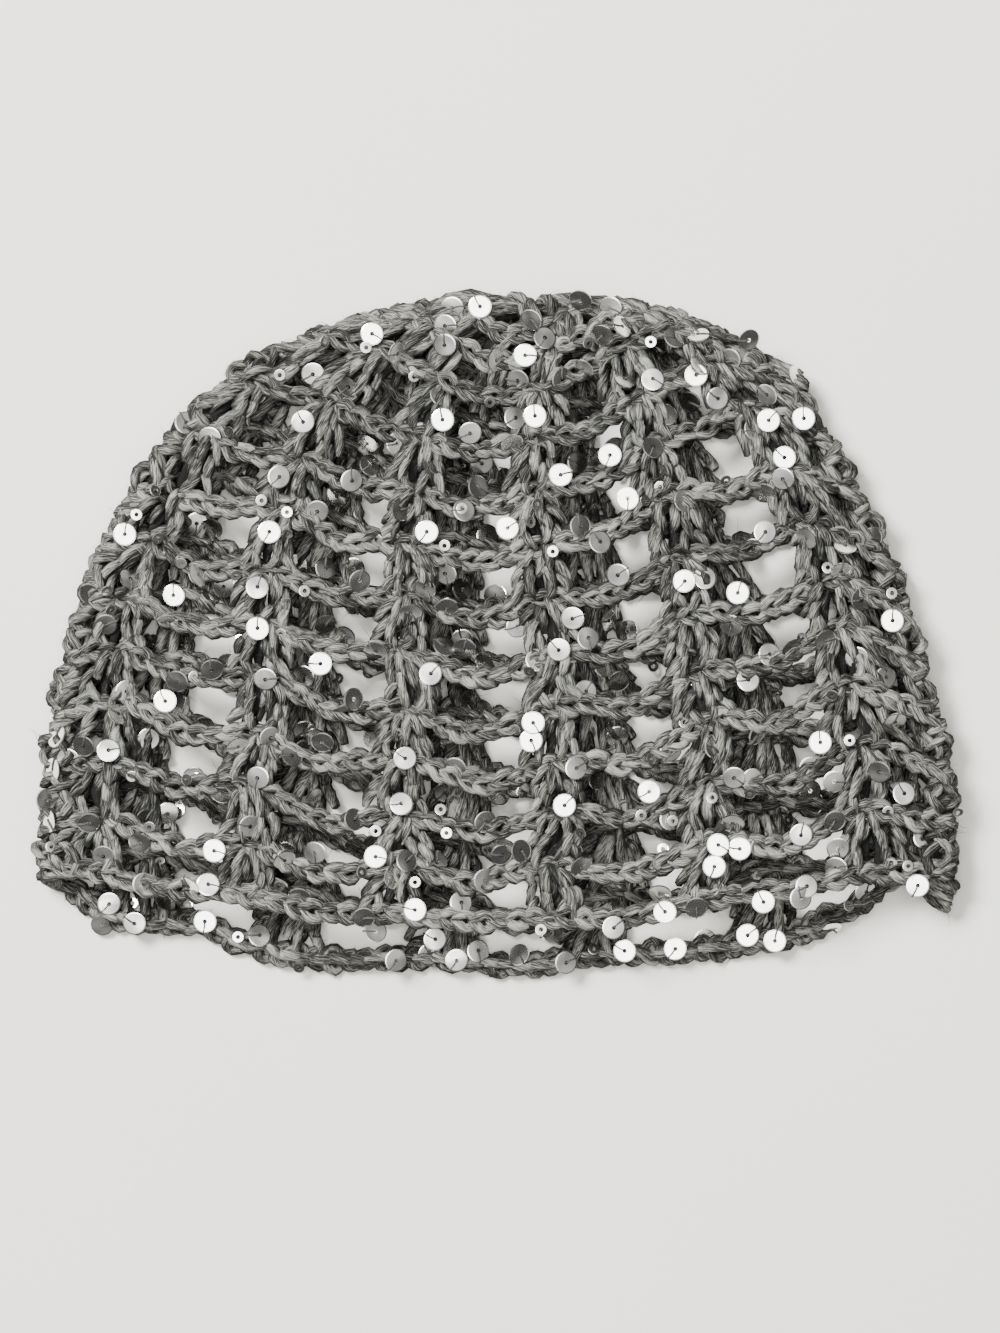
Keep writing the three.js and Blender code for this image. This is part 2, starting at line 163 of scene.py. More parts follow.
# Where discs lie on the flat cap, in mm across and up from the middle of it, by how they lie. The places
# were read off the photo by eye, and a scratch script turned them into mm.
DISC_CHART = {
    "bright": (
        (-95, 26), (-84.5, -16.5), (-83, 10.5), (-75, -73), (-72, -54.5), (-61, 2), (-58, 26.5),
        (-45, -7), (-32, 77), (-31, -56), (-21, -69.5), (-18, 26.5), (-14, 55), (-4.5, 84), (2.5, 27.5),
        (7, 71.5), (8.5, -26.5), (9, -22), (9.5, 56), (16, 41), (17, -43), (28.5, 46), (32.5, -80.5),
        (33, 35), (38.5, -39.5), (42.5, -70), (45.5, -80), (47.5, 14), (50.5, 66.5), (55, -58.5),
        (56, -53), (59.5, 43.5), (61, 11), (61.5, -54), (64, -76.5), (67.5, -67.5), (69, 55), (71, -78),
        (73, 45.5), (78, 55.5), (82, -27), (100.5, 4), (107, -63.5),
    ),
    "pale": (
        (-99.5, -68.5), (-99, -29), (-93, -73.5), (-73.5, -63), (-61, 12.5), (-49.5, 54.5),
        (-24.5, -42.5), (-23.5, -31), (-17, -9.5), (-16, -77.5), (-10.5, -83), (15.5, -3.5), (19, 4.5),
        (29.5, -74), (39.5, 65.5), (68, 26.5), (77, -50.5), (78.5, -63.5), (103.5, -40),
    ),
    "grey": (
        (-61, -76.5), (-61, -36), (-59, -11), (-55.5, 40.5), (-46.5, -55), (-37, 39.5), (-26, -83),
        (-13.5, 74), (-8.5, 32), (-7, 51.5), (-5, -80.5), (4.5, 55.5), (12, 76), (17.5, -83.5),
        (20, -33.5), (23, -0.5), (26, 24), (30.5, 15.5), (56, 60.5), (60, -36), (68, 31), (72.5, 40),
        (77, -66.5), (85.5, -37), (86.5, -54),
    ),
    "dark": (
        (-105.5, -28), (-104, -47.5), (-91, -52.5), (-81.5, -11.5), (-72.5, -8.5), (-44.5, -27),
        (-44, 3), (-44, 17.5), (-38.5, -42), (-36.5, -16), (-35, 14), (-34, -71.5), (-32.5, 43.5),
        (-23, -57), (-13.5, -2.5), (-9, 12), (-8.5, -3), (-5, 38), (1, -55.5), (5.5, -81.5), (6, -54.5),
        (8.5, 80.5), (20.5, 44.5), (21, 28), (21, 85.5), (26.5, 76.5), (31, -11.5), (35, 5.5),
        (39.5, 48), (49, 60), (50.5, -69), (64, 75.5), (68.5, 61.5), (85.5, -47), (97, -34.5),
    ),
    "tucked": (
        (-109.5, -31.5), (-101.5, -74), (-94.5, -14), (-90, -63), (-79.5, 54.5), (-73.5, 50.5),
        (-71, 11), (-50.5, -66.5), (-31, -75), (-25.5, 49), (-17.5, -81.5), (-15.5, -57.5),
        (-14.5, 61.5), (-13.5, -40), (-11, -33.5), (-4, 44), (5, 2.5), (16.5, 65.5), (22.5, -14),
        (43, 56.5), (44, -46.5), (44, -29), (47.5, 34.5), (59, 70.5), (65, 22), (65.5, 53), (67, -53.5),
        (71, 13), (79.5, -33.5), (86, -59), (91.5, -5.5), (94.5, -65.5), (95.5, 25), (99, -10.5),
    ),
    "on edge": (
        (-114.5, -47), (-113.5, -34), (-112.5, -25.5), (-78.5, -63.5), (-54, 36), (28.5, 4), (51, 77),
        (51.5, 69), (66, -25), (76.5, 66.5), (85.5, -75), (88.5, 23),
    ),
    "small": (
        (-99.5, 11.5), (-98.5, 6.5), (-92, 31), (-88.5, -48.5), (-87, 37), (-86.5, 25), (-80.5, 18.5),
        (-79, -36.5), (-68.5, 52), (-66.5, -77), (-66.5, 15.5), (-60, 34.5), (-55.5, -63.5),
        (-55.5, 66.5), (-53.5, 31.5), (-51, -85), (-49, 11.5), (-44, 75), (-34.5, -60), (-33.5, 73.5),
        (-31, -49.5), (-21, -62.5), (-14.5, -44), (-13.5, 23), (-13, -50), (-9, 32.5), (-2, 59.5),
        (8, -9), (8.5, 29), (10, 33.5), (11, -74.5), (14, 21.5), (21, -50), (23, 74.5), (24.5, -80),
        (36.5, -45.5), (37.5, 34.5), (39, -31), (39, 75), (44.5, -47), (54.5, -41), (58, 39.5),
        (64, -40), (74.5, -47), (84, 17.5), (85, -15), (89.5, -26.5), (90, -69), (100.5, 11),
        (104.5, -58.5), (117.5, -45),
    ),
}

# How each kind lies: least and most tilt in degrees, and height above the yarn beneath it.
DISC_SETS = {
    "bright": (0.0, 4.0, 0.25),
    "pale": (9.5, 13.0, 0.2),
    "grey": (16.5, 21.5, 0.1),
    "dark": (26.0, 36.0, 0.05),
    "tucked": (14.0, 30.0, -1.2),
    "on edge": (40.0, 62.0, -0.6),
    "small": (3.0, 40.0, 0.15),
    "loose": (12.0, 52.0, -0.4),
}
WINDOW_SIDE = 2.46  # direction of the window on the floor plan, in radians. The discs lean away from it,
LEAN_REACH = 1.7  # and at most this much to one side


def smoothstep(x, low, high):
    t = np.clip((x - low) / (high - low), 0, 1)
    return t * t * (3 - 2 * t)


def unit(vectors):
    return vectors / np.maximum(np.linalg.norm(vectors, axis=-1, keepdims=True), 1e-9)


# The flat outline of the cap, and its columns of stitches.


def length_of(share, layer):
    """From the crown to the hem, at a share of the half width."""
    side = abs(share)
    if layer == FRONT:
        return FRONT_LENGTH - (FRONT_LENGTH - FOLD_LENGTH) * side**FRONT_HEM_POWER
    power = BACK_HEM_POWER_LEFT if share < 0 else BACK_HEM_POWER_RIGHT
    waves = sum(rise * np.exp(-(((share - place) / reach) ** 2)) for place, reach, rise in BACK_HEM_WAVES)
    return BACK_LENGTH - (BACK_LENGTH - FOLD_LENGTH) * side**power - waves


def rise_at(drop):
    return np.maximum(0, 1 - drop / DOME_DROP)


def half_width_at(drop):
    return HALF_WIDTH * (1 - rise_at(drop) ** SHOULDER_POWER) ** (1 / FLANK_POWER)


def centre_at(drop):
    rise = rise_at(drop)
    return CROWN_LEAN * rise**6 - SHOULDER_LEAN * np.sin(np.pi * rise**2)


SHARES = np.linspace(-1, 1, 201)
PROGRESS = np.linspace(0, 1.1, 265)


def slip_at(share, progress, table):
    """A curve through the three values of the table, that dies out at the folds."""
    left, middle, right = (np.interp(progress, SLIP_PROGRESS, column) for column in np.array(table).T)
    side = np.clip(share / SLIP_SHARE, -1.3, 1.3)
    blend = left * side * (side - 1) / 2 + middle * (1 - side**2) + right * side * (side + 1) / 2
    return blend * (1 - share**8)


def column_table(layer):
    """Where a place on a face lies, by its share of the half width and its progress from crown to hem."""
    steps = np.linspace(0, 1, 401) ** 2
    xs = np.zeros((len(SHARES), len(PROGRESS)))
    drops = np.zeros_like(xs)
    for i, share in enumerate(SHARES):
        drop = length_of(share, layer) * steps
        x = centre_at(drop) + share * half_width_at(drop)
        width = np.hypot(share, CROWN_EASE) * half_width_at(drop)
        stretch = np.hypot(np.diff(width), np.diff(drop))
        run = np.concatenate([[0], np.cumsum(stretch)])
        spread = 1 - FOLD_SPREAD * share**2
        if layer == BACK:
            spread += BACK_SPREAD * (1 - share**2)
        slip_down, slip_right = (slip_at(share, PROGRESS, table) for table in SLIPS[layer])
        want = np.maximum(run[-1] * PROGRESS**spread + slip_down, 0)
        beyond = np.maximum(want - run[-1], 0) / stretch[-1]
        xs[i] = np.interp(want, run, x) + beyond * (x[-1] - x[-2]) + slip_right
        drops[i] = np.interp(want, run, drop) + beyond * (drop[-1] - drop[-2])
    return xs, drops


TABLES = {FRONT: column_table(FRONT), BACK: column_table(BACK)}


def read_table(table, share, progress):
    u = (share + 1) / 2 * (len(SHARES) - 1)
    v = progress / PROGRESS[-1] * (len(PROGRESS) - 1)
    i = np.clip(u.astype(int), 0, len(SHARES) - 2)
    j = np.clip(v.astype(int), 0, len(PROGRESS) - 2)
    a = u - i
    b = v - j
    near = table[i, j] * (1 - a) + table[i + 1, j] * a
    far = table[i, j + 1] * (1 - a) + table[i + 1, j + 1] * a
    return near * (1 - b) + far * b


def place_on_round(along):
    """The share of the half width and the face at a place counted in columns from the first fan."""
    run = np.mod(FIRST_COLUMN_RUN + along * COLUMN_PITCH, 2 * FACE_RUN)
    layer = np.where(run < FACE_RUN, FRONT, BACK)
    on_face = np.where(run < FACE_RUN, run, run - FACE_RUN)
    from_fold = np.minimum(on_face, FACE_RUN - on_face)
    turned = FOLD_RADIUS * (1 - np.cos(from_fold / FOLD_RADIUS))
    flat = FOLD_RADIUS + from_fold - QUARTER_FOLD
    inset = np.where(from_fold < QUARTER_FOLD, turned, flat)
    side = np.where(on_face < FACE_RUN / 2, -layer, layer)
    return side * (1 - inset / HALF_WIDTH), layer


def wander(along, progress, seed):
    """A slow irregularity, the same again after one turn round the cap."""
    total = 0
    for turns, rows in WANDER_WAVES:
        phase = 2 * np.pi * turns * along / COLUMNS + rows * progress * np.pi + seed * turns * 1.7
        total = total + np.sin(phase + 1.3 * np.sin(rows * progress * 2.1 + seed)) / 2.2
    return total


def sheet_at(along, progress):
    """The middle of the fabric and its outward normal, for arrays of places."""
    along, progress = np.broadcast_arrays(along, progress)
    progress = np.maximum(progress, 0)
    share, layer = place_on_round(along)
    front = layer == FRONT
    x, drop = (
        np.where(front, read_table(a, share, progress), read_table(b, share, progress))
        for a, b in zip(TABLES[FRONT], TABLES[BACK])
    )
    side = (x - centre_at(drop)) / HALF_WIDTH
    rise = rise_at(drop)
    inside = 1 - np.abs(side) ** FLANK_POWER - rise**SHOULDER_POWER
    out_x = np.sign(side) * FLANK_POWER * np.abs(side) ** (FLANK_POWER - 1) / HALF_WIDTH
    out_y = SHOULDER_POWER * rise ** (SHOULDER_POWER - 1) / DOME_DROP
    steepness = np.maximum(np.hypot(out_x, out_y), 1e-4)
    inset = np.maximum(0, inside / steepness)
    roll = np.arccos(np.clip(1 - inset / FOLD_RADIUS, 0, 1))
    t = np.minimum(inset / BULGE_REACH, 1)
    bulge = np.where(front, FACE_BULGE * t * t * (3 - 2 * t), 0)
    slope = np.where(front, FACE_BULGE * 6 * t * (1 - t) / BULGE_REACH, 0)
    z = THICKNESS / 2 + FOLD_RADIUS + layer * FOLD_RADIUS * np.sin(roll) + bulge
    outward = np.cos(roll) + slope * np.sin(roll)
    normal = np.stack([out_x / steepness * outward, out_y / steepness * outward, layer * np.sin(roll)], -1)
    return np.stack([x, TOP_Y - drop, z], -1), unit(normal)


def fabric_at(along, progress):
    """The fabric's middle with its own directions: along the round, down to the hem, and out."""
    along, progress = np.broadcast_arrays(np.asarray(along, float), np.asarray(progress, float))
    point, out = sheet_at(along, progress)
    step = 0.02
    ahead = sheet_at(along + step, progress)[0] - sheet_at(along - step, progress)[0]
    pitch = np.linalg.norm(ahead, axis=-1) / (2 * step)
    ahead = ahead - out * np.sum(ahead * out, -1, keepdims=True)
    ahead = unit(ahead)
    return point, ahead, np.cross(ahead, out), out, pitch


def hang_at(along, progress, sag):
    """How far the chains between two fans hang below their round, as progress."""
    grown = np.clip(progress * SAG_GROWTH, 0, 1)
    return np.sin(np.pi * along) ** 2 * sag * grown / FRONT_LENGTH


def drift(along, progress):
    """The place with the small unevenness of handwork in it."""
    fade = smoothstep(progress, 0.1, 0.3)
    across = along + DRIFT_ALONG * fade * wander(along, progress, 1)
    down = progress + DRIFT_DOWN * fade * wander(along, progress, 4)
    return across, down


# Strands of yarn, as tubes with grooves that turn round them.


class Yarn:
    """Gathers strands, and makes one mesh of them."""

    def __init__(self):
        self.points = []
        self.fibres = []
        self.tones = []
        self.faces = []
        self.count = 0

    def add(self, paths, radii, sunk, rng, sides=STRAND_SIDES):
        """Adds strands with the same number of points each.

        paths is (strands, points, 3), and radii and sunk are (strands, points); sunk sets how much painted
        shade of the hollows the colour gets.
        """
        paths = np.asarray(paths, float)
        strands, length, _ = paths.shape
        radii, sunk = (np.broadcast_to(a, (strands, length)) for a in (radii, sunk))
        tangents = unit(np.gradient(paths, axis=1))
        across = np.zeros_like(paths)
        first = np.where(np.abs(tangents[:, 0, 2:3]) < 0.8, [[0, 0, 1.0]], [[1.0, 0, 0]])
        across[:, 0] = unit(np.cross(tangents[:, 0], first))
        for i in range(1, length):
            carried = across[:, i - 1]
            carried = carried - tangents[:, i] * np.sum(carried * tangents[:, i], -1, keepdims=True)
            across[:, i] = unit(carried)
        up = np.cross(tangents, across)
        steps = np.linalg.norm(np.diff(paths, axis=1), axis=-1)
        run = np.concatenate([np.zeros((strands, 1)), np.cumsum(steps, axis=1)], axis=1)
        corner = np.arange(sides) * 2 * np.pi / sides
        angle = corner + (run * YARN_TWIST + rng.uniform(0, 2 * np.pi, (strands, 1)))[..., None]
        ply = STRAND_RELIEF * np.where(np.arange(sides) % 2, -0.5, 0.5)
        groove = 1 + ply + rng.normal(0, STRAND_ROUGHNESS, angle.shape)
        reach = (radii[..., None] * groove)[..., None]
        ring = paths[:, :, None] + reach * (
            np.cos(angle)[..., None] * across[:, :, None] + np.sin(angle)[..., None] * up[:, :, None]
        )
        ring[..., 2] = np.maximum(ring[..., 2], FLOOR_CLEARANCE)
        self.points.append(ring.reshape(-1, 3))
        around = np.broadcast_to(corner, angle.shape)
        lengthwise = np.broadcast_to((run + rng.uniform(0, 500, (strands, 1)))[..., None], angle.shape)
        self.fibres.append(np.stack([np.cos(around), np.sin(around), lengthwise], -1).reshape(-1, 3))
        # Each strand's colour tone: a random tone, less painted shade in the hollows and, in the next line,
        # painted shade on the flanks where strands touch.
        tone_and_shade = rng.uniform(0, 1, (strands, 1)) - PAINTED_HOLLOW_SHADE * sunk
        flank = 1 - np.abs(ring[..., 2] - paths[:, :, None, 2]) / reach[..., 0]
        self.tones.append((tone_and_shade[..., None] - PAINTED_FLANK_SHADE * np.clip(flank, 0, 1)).ravel())
        index = self.count + np.arange(strands * length * sides).reshape(strands, length, sides)
        here, ahead = index[:, :-1], index[:, 1:]
        quads = np.stack([here, ahead, np.roll(ahead, -1, 2), np.roll(here, -1, 2)], -1)
        self.faces += [quads[..., ::-1].reshape(-1, 4), index[:, 0], index[:, -1, ::-1]]
        self.count += index.size

    def mesh(self, name, material):
        piece = mesh_object(name, np.concatenate(self.points), self.faces, material)
        fibre = piece.data.attributes.new("fibre", "FLOAT_VECTOR", "POINT")
        fibre.data.foreach_set("vector", np.concatenate(self.fibres).ravel())
        # The tone attribute carries each strand's random tone with the painted shade of the hollows and
        # flanks.
        tone_and_shade = piece.data.attributes.new("tone_and_shade", "FLOAT", "POINT")
        tone_and_shade.data.foreach_set("value", np.concatenate(self.tones))
        return piece


def mesh_object(name, points, faces, *materials, smooth=True):
    """An object from points in mm and lists of faces, each list of faces with the same number of corners."""
    mesh = bpy.data.meshes.new(name)
    corners = np.concatenate([f.ravel() for f in faces])
    sizes = np.concatenate([np.full(len(f), f.shape[1]) for f in faces])
    mesh.vertices.add(len(points))
    mesh.vertices.foreach_set("co", (np.asarray(points) * MM).ravel())
    mesh.loops.add(len(corners))
    mesh.loops.foreach_set("vertex_index", corners)
    mesh.polygons.add(len(sizes))
    mesh.polygons.foreach_set("loop_start", np.cumsum(sizes) - sizes)
    mesh.polygons.foreach_set("use_smooth", np.full(len(sizes), smooth))
    mesh.update(calc_edges=True)
    for material in materials:
        mesh.materials.append(material)
    piece = bpy.data.objects.new(name, mesh)
    bpy.context.scene.collection.objects.link(piece)
    return piece


def curve_through(knots, steps):
    """Points on a smooth curve through the knots, (strands, knots, 3), with a few steps between two knots."""
    before = np.concatenate([2 * knots[:, :1] - knots[:, 1:2], knots[:, :-1]], axis=1)
    after = np.concatenate([knots[:, 1:], 2 * knots[:, -1:] - knots[:, -2:-1]], axis=1)
    slope = (after - before) / 2
    t = (np.arange(steps) / steps)[:, None]
    a, b = knots[:, :-1, None], knots[:, 1:, None]
    sa, sb = slope[:, :-1, None], slope[:, 1:, None]
    piece = (
        a * (2 * t**3 - 3 * t**2 + 1)
        + sa * (t**3 - 2 * t**2 + t)
        + b * (3 * t**2 - 2 * t**3)
        + sb * (t**3 - t**2)
    )
    whole = piece.reshape(len(knots), -1, 3)
    return np.concatenate([whole, knots[:, -1:]], axis=1)


def sunk_at(out, layer):
    """How deep a strand lies in the fabric, from 0 on its face to 1 in its hollows, which sets how much
    painted shade its colour gets.

    The back layer shows its inside and its outside, so both count as its face.
    """
    return 1 - smoothstep(np.where(layer == BACK, np.abs(out) - 0.3, out), -1.9, 0.5)


# One chain stitch, seen from the fabric's outside.
CHAIN_KNOTS = np.array(
    [
        # along the round in stitches, down and out as shares of its size
        [0.00, 0.00, -1.00],
        [0.32, -0.30, 0.25],
        [0.90, -1.00, 0.62],
        [1.40, -0.62, 0.00],
        [1.56, 0.00, -0.32],
        [1.40, 0.62, 0.00],
        [0.90, 1.00, 0.62],
        [0.32, 0.30, 0.25],
        [0.12, 0.00, -0.90],
    ]
)


def add_chain(yarn, round_number, sag, dip, rng):
    """The chain that runs right round the cap at one round, and dips behind the fans."""
    progress = round_number / ROUNDS
    along = np.linspace(0, COLUMNS, CHAIN_SAMPLES * COLUMNS + 1)
    across, down = drift(along, progress + hang_at(along, progress, sag))
    points, ahead, below, out, pitch = fabric_at(across, down)
    from_fan = np.abs(along - np.round(along)) * pitch
    sink = dip * np.exp(-((from_fan / DIP_REACH) ** 4))
    points = points - sink[:, None] * out
    steps = np.linalg.norm(np.diff(points, axis=0), axis=1)
    run = np.concatenate([[0], np.cumsum(steps)])
    stitches = int(round(run[-1] / CHAIN_STITCH))
    pitch = run[-1] / stitches
    shape = (stitches, len(CHAIN_KNOTS))
    size = np.repeat(rng.uniform(*CHAIN_SIZES, (stitches, 1)), shape[1], 1)
    slip = np.repeat(rng.normal(0, CHAIN_SLIP, (stitches, 1)), shape[1], 1)
    veer = np.repeat(rng.normal(0, CHAIN_VEER, (stitches, 1)), shape[1], 1)
    s = (np.arange(stitches)[:, None] + CHAIN_KNOTS[:, 0] + slip).ravel() * pitch
    s = np.clip(s, 0, run[-1])
    layer = place_on_round(np.interp(s, run, along))[1]
    loose = np.where(layer == BACK, BACK_LOOSENESS, 1)
    lateral = CHAIN_KNOTS[:, 1] * size * CHAIN_SPREAD + veer + rng.normal(0, KNOT_VEER, shape)
    lateral = lateral.ravel() * loose
    outward = (CHAIN_KNOTS[:, 2] * size * CHAIN_DEPTH + rng.normal(0, KNOT_VEER, shape)).ravel()

    def carried(values):
        return np.stack([np.interp(s, run, values[:, k]) for k in range(3)], -1)

    knots = carried(points) + lateral[:, None] * carried(below) + outward[:, None] * carried(out)
    path = curve_through(knots[None], 2)
    lift = curve_through(np.repeat((outward - np.interp(s, run, sink))[None, :, None], 3, 2), 2)[..., 0]
    swell = np.sin(np.arange(path.shape[1]) * 0.7 + rng.uniform(0, 6))
    thick = YARN_RADIUS * (0.98 + 0.09 * swell)
    sides = np.append(np.repeat(layer[:-1], 2), layer[-1])
    yarn.add(path, thick[None], sunk_at(lift, sides), rng)


# The leaves of a fan, from its tight top to its foot, each over the one before. The last ones lie underneath.
# Sideways in shares of the fan's reach, down in shares of the row, outward and bend in mm.
FAN_LEAVES = (
    # top across, top down, foot across, foot down, top out, foot out, lift, bend, thickness
    (-0.12, 0.00, -0.36, 0.54, -1.1, -0.8, 2.0, -0.3, 1.00),
    (0.14, -0.02, 0.34, 0.56, -1.1, -0.8, 2.0, 0.3, 1.00),
    (-0.22, 0.04, -0.84, 0.42, -1.3, -0.7, 1.7, -0.5, 0.98),
    (0.26, 0.05, 0.84, 0.44, -1.3, -0.7, 1.7, 0.5, 0.98),
    (0.02, 0.16, -0.04, 0.60, -1.5, -1.2, 1.6, 0.0, 0.96),
    (-0.30, 0.34, -0.56, 0.86, -0.9, -0.9, 1.9, -0.5, 1.00),
    (0.32, 0.36, 0.56, 0.84, -0.9, -0.9, 1.9, 0.5, 1.00),
    (-0.62, 0.30, -1.00, 0.74, -1.2, -0.8, 1.5, -0.4, 0.98),
    (0.64, 0.32, 1.00, 0.72, -1.2, -0.8, 1.5, 0.4, 0.98),
    (-0.62, 0.62, -1.08, 1.02, -0.9, -0.3, 1.5, -0.4, 1.00),
    (0.64, 0.60, 1.08, 1.00, -0.9, -0.3, 1.5, 0.4, 1.00),
    (-0.46, 0.60, -0.20, 1.00, -1.1, -0.9, 1.7, -0.5, 1.00),
    (0.46, 0.62, 0.22, 0.98, -1.1, -0.9, 1.7, 0.5, 1.00),
    (-0.26, 0.10, -0.55, 0.98, -2.0, -2.0, 0.5, 0.0, 1.05),
    (0.26, 0.10, 0.55, 0.98, -2.0, -2.0, 0.5, 0.0, 1.05),
    (0.00, 0.20, 0.00, 0.85, -2.1, -2.1, 0.3, 0.0, 1.05),
)
LEAF_STEPS = np.array([0, 0.2, 0.45, 0.72, 1.0])

# The strands of one puff on the crown: side by side, bowed outwards.
PUFF_LEAVES = (
    # top across, top down, foot across, foot down, top out, foot out, lift, bend, thickness
    (-0.26, 0.06, -0.32, 0.93, -1.5, -1.2, 1.8, -1.6, 0.86),
    (-0.12, 0.00, -0.16, 1.00, -1.2, -0.9, 2.7, -0.8, 0.92),
    (0.02, 0.03, 0.02, 1.03, -1.2, -0.9, 3.1, 0.0, 0.92),
    (0.14, 0.00, 0.16, 1.00, -1.3, -1.0, 2.7, 0.8, 0.90),
    (0.26, 0.06, 0.32, 0.93, -1.6, -1.3, 1.8, 1.6, 0.86),
    (-0.50, 0.10, -0.50, 0.98, -2.1, -2.0, 0.6, 0.0, 1.00),
    (0.50, 0.10, 0.50, 0.98, -2.1, -2.0, 0.6, 0.0, 1.00),
)

# The strands of one knot at a fold, laid over each other.
KNOT_LEAVES = (
    # top across, top down, foot across, foot down, top out, foot out, lift, bend, thickness
    (-0.90, 0.32, 0.55, 0.72, -1.5, -1.0, 2.0, 0.6, 0.94),
    (0.85, 0.28, -0.60, 0.68, -1.4, -1.0, 2.3, -0.6, 0.94),
    (-0.30, 0.54, 0.95, 0.96, -1.1, -1.2, 2.5, 0.6, 0.94),
    (0.30, 0.58, -1.00, 0.94, -1.2, -1.2, 2.4, -0.6, 0.94),
    (-0.85, 0.66, -0.10, 1.08, -1.4, -1.0, 2.1, -0.6, 0.90),
    (0.90, 0.68, 0.20, 1.06, -1.5, -1.2, 1.9, 0.6, 0.90),
    (0.05, 0.05, 0.00, 0.95, -2.0, -2.0, 0.6, 0.0, 1.10),
)


def add_fans(yarn, columns, begin, end, reach, rng, leaves=FAN_LEAVES, raised=0.0):
    """Fans of leaves from one place to another, counted in rounds.

    Reach is half a fan's width, one for each column, and raised lifts the leaves off the fabric.
    """
    columns = np.asarray(columns, float)[:, None, None]
    on_face = np.mod(columns, COLUMNS / 2)
    stretch_before = np.where(on_face == 0, FOLD_FAN_STRETCH, 1)
    stretch_after = np.where(on_face == COLUMNS / 2 - 1, FOLD_FAN_STRETCH, 1)
    table = np.array(leaves).T[:, None, :, None]
    top_across, top_down, foot_across, foot_down, top_out, foot_out, lift, bend, thick = table
    shape = (len(columns), len(leaves), 1)
    size = rng.uniform(*FAN_SIZES, (len(columns), 1, 1)) * reach[:, None, None]
    lean = rng.normal(0, FAN_LEAN, (len(columns), 1, 1))

    def uneven(values, part):
        return values + rng.normal(0, LEAF_UNEVENNESS[part], shape)

    x0 = uneven(top_across, "top across")
    x1 = uneven(foot_across, "foot across") + lean
    x0, x1 = (x * size * np.where(x < 0, stretch_before, stretch_after) for x in (x0, x1))
    y0 = uneven(top_down, "top down")
    y1 = uneven(foot_down, "foot down")
    n0 = uneven(top_out, "top out")
    n1 = uneven(foot_out, "foot out")
    t = LEAF_STEPS
    swell = np.sin(np.pi * t)
    height = (end - begin) * ROW_HEIGHT
    run = np.hypot(x1 - x0, (y1 - y0) * height)
    aside = uneven(bend, "bend") * swell
    x = x0 + (x1 - x0) * t + aside * (y1 - y0) * height / run
    y = y0 + (y1 - y0) * t - aside * (x1 - x0) / run / height
    n = n0 + (n1 - n0) * t + (lift * rng.uniform(*LEAF_LIFTS, shape) + raised) * swell**0.8
    progress = (begin + y * (end - begin)) / ROUNDS
    width = fabric_at(columns, np.maximum(progress, LEAST_ROUND / ROUNDS))[4]
    across, down = drift(columns + x / width, progress)
    point, _, _, out, _ = fabric_at(across, down)
    knots = (point + n[..., None] * out).reshape(-1, len(t), 3)
    plump = np.where(place_on_round(columns)[1] == BACK, BACK_PLUMPNESS, 1)
    radius = YARN_RADIUS * thick * plump * rng.uniform(*LEAF_SIZES, shape) * (0.70 + 0.34 * swell)
    path = curve_through(knots, 2)
    fine = np.linspace(0, 1, path.shape[1])
    depth, radius = (
        np.stack([np.interp(fine, t, row) for row in values.reshape(-1, len(t))]) for values in (n, radius)
    )
    layer = np.repeat(place_on_round(columns.ravel())[1], table.shape[2])[:, None]
    yarn.add(path, radius, sunk_at(depth, layer), rng)


# Materials.

# The yarn: how fine its hairs and its marl are, twice round a strand and once along it.
HAIR_GRAIN = (6.0, 6.0, 0.42)
MARL_GRAIN = (0.5, 0.5, 0.06)
MARL_SHARE = 0.45
# The share of the strands' random tone and painted shade in the yarn's colour.
TONE_AND_SHADE_SHARE = 0.05
YARN_DARKENING = 0.230
YARN_TONES = (
    (0.37, (0.009, 0.009, 0.008)),
    (0.46, (0.040, 0.040, 0.036)),
    (0.53, (0.130, 0.130, 0.116)),
    (0.62, (0.370, 0.370, 0.334)),
)
HAIR_RELIEF = 0.6

# The foil: dents in each metre, and their depth.
FOIL_DENTS = 150
FOIL_RELIEF = 0.35
FOIL_TONES = ((0.3, (0.80, 0.79, 0.75)), (0.7, (0.92, 0.91, 0.87)))

THREAD_GRAIN = (1.0, 1.0, 1.5)
THREAD_TONES = ((0.35, (0.020, 0.020, 0.020)), (0.65, (0.085, 0.085, 0.082)))

PAPER_CLOUDS = 6  # in each metre
PAPER_TONES = ((0.3, (0.805, 0.785, 0.725)), (0.7, (0.825, 0.806, 0.747)))


def new_material(name):
    material = bpy.data.materials.new(name)
    material.use_nodes = True
    tree = material.node_tree
    return material, tree, tree.nodes["Principled BSDF"]


def ramp(tree, factor, stops):
    node = tree.nodes.new("ShaderNodeValToRGB")
    while len(node.color_ramp.elements) < len(stops):
        node.color_ramp.elements.new(0.5)
    for element, (position, colour) in zip(node.color_ramp.elements, stops):
        element.position = position
        element.color = (*colour, 1)
    tree.links.new(factor, node.inputs["Fac"])
    return node.outputs["Color"]


def noise(tree, vector, scale, detail, rough=0.5):
    node = tree.nodes.new("ShaderNodeTexNoise")
    node.inputs["Scale"].default_value = scale
    node.inputs["Detail"].default_value = detail
    node.inputs["Roughness"].default_value = rough
    tree.links.new(vector, node.inputs["Vector"])
    return node.outputs["Fac"]


def stretched(tree, vector, scale):
    node = tree.nodes.new("ShaderNodeMapping")
    node.inputs["Scale"].default_value = scale
    tree.links.new(vector, node.inputs["Vector"])
    return node.outputs["Vector"]


def attribute(tree, name, output):
    node = tree.nodes.new("ShaderNodeAttribute")
    node.attribute_name = name
    return node.outputs[output]


